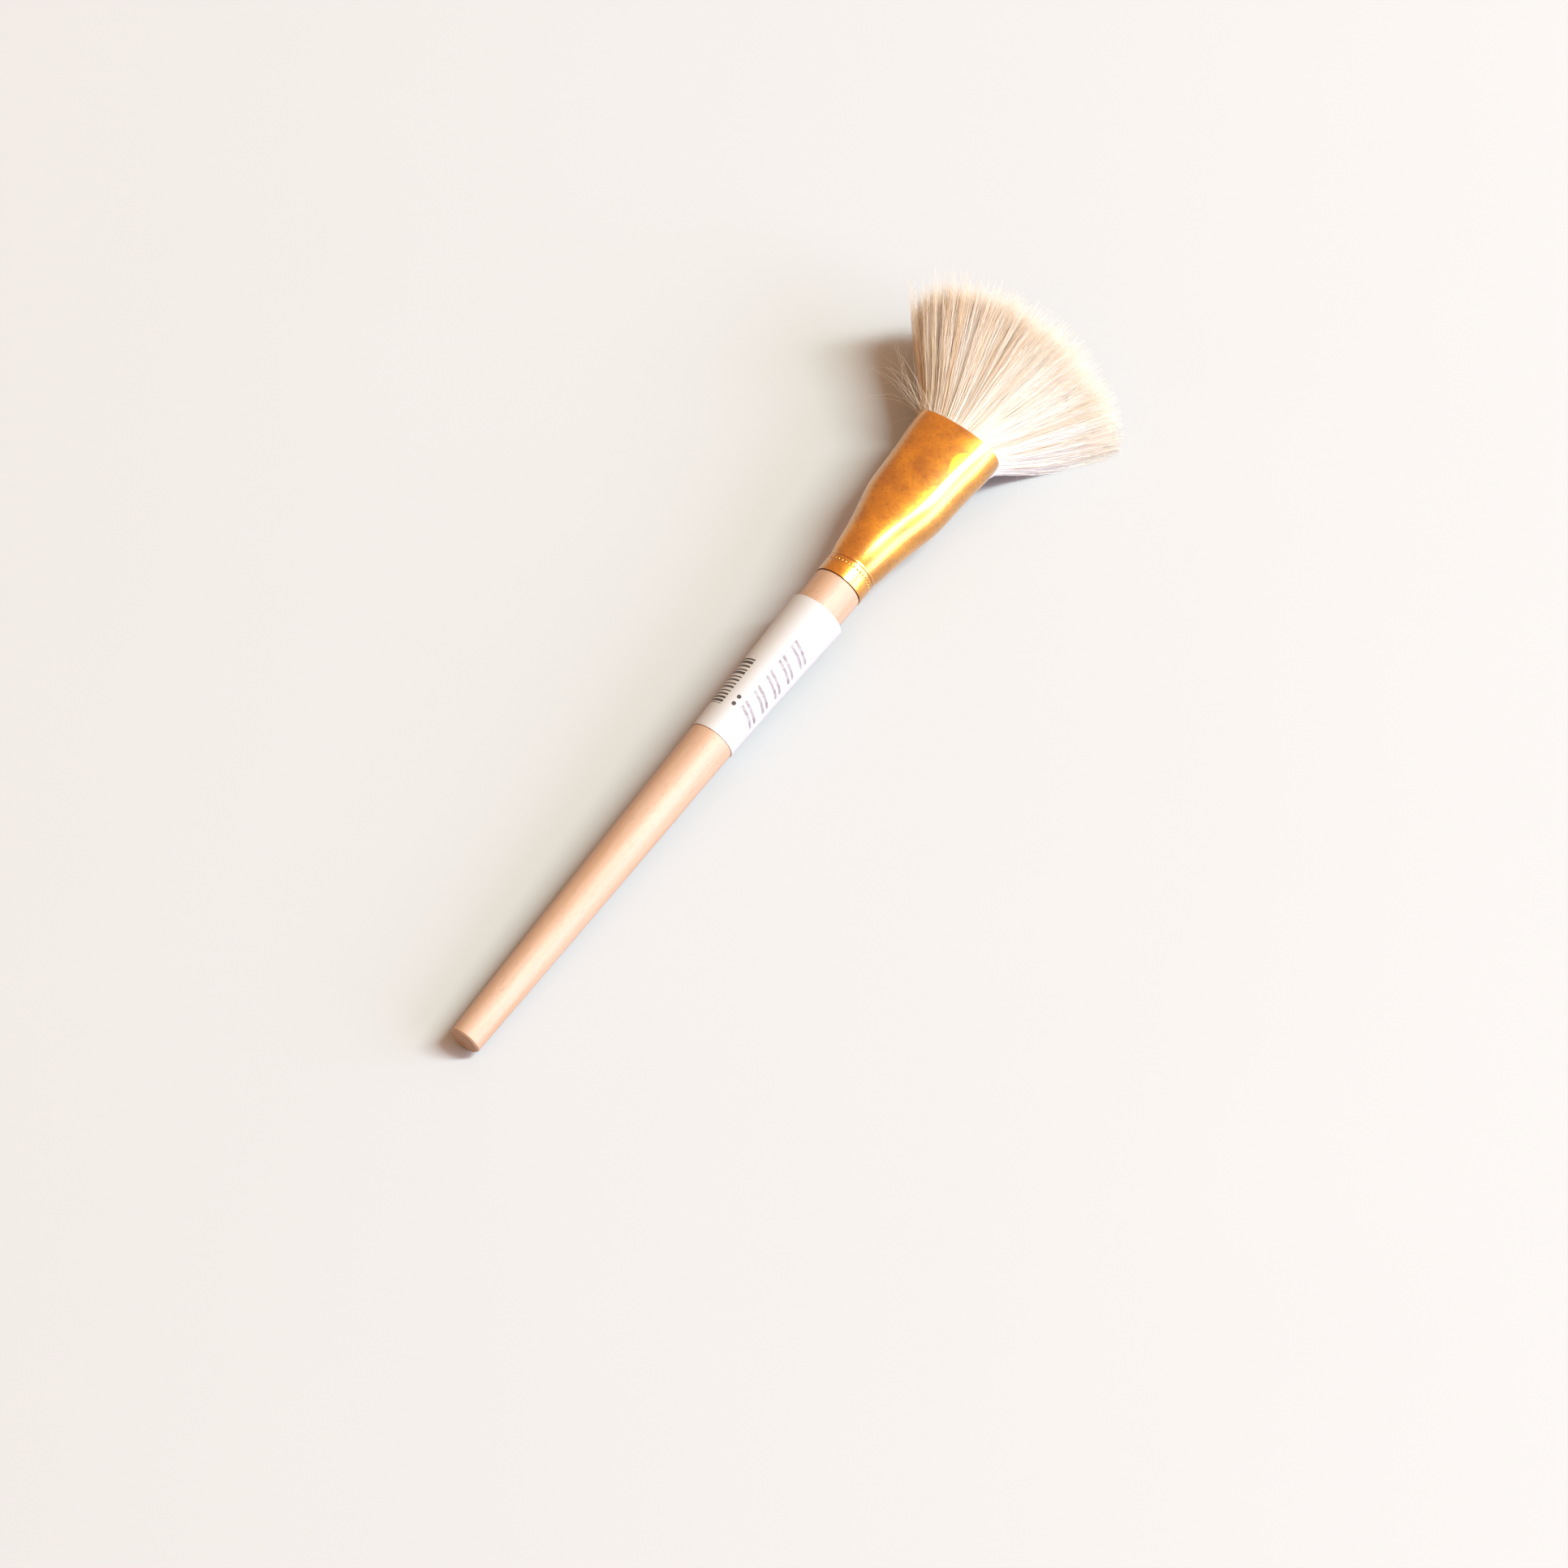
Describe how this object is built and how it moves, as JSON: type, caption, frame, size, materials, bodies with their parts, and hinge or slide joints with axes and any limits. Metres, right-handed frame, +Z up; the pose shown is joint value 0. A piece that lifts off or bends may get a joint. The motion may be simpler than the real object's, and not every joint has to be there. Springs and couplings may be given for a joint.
{
  "type": "fade brush",
  "caption": "Soft hair mop brush with a tapered wooden handle and a gold metal ferrule that flattens to an oval mouth, for fading, blending and dusting hair.",
  "frame": {"origin": "on the surface the brush lies on, under the middle of its bounding box", "axes": "+Y along the brush from the butt of the handle to the tips of the hair, +X across the flat side of the ferrule and hair, +Z up"},
  "size_m": [0.0592, 0.2285, 0.0205],
  "materials": {
    "bare_wood": "raw sanded pale hardwood, matt",
    "gold_anodised_aluminium": "satin gold anodised",
    "natural_hair": "soft cream goat hair with a low sheen",
    "cotton_thread": "waxed cotton",
    "clear_resin": "clear amber resin",
    "wood_glue": "dry glue",
    "label_paper": "smooth white label paper"
  },
  "bodies": {
    "root": {"handle": "bare_wood", "ferrule": "gold_anodised_aluminium", "hair_tuft": "natural_hair", "binding_thread": "cotton_thread", "resin_plug": "clear_resin", "handle_glue": "wood_glue", "price_label": "label_paper"}
  },
  "joints": []
}
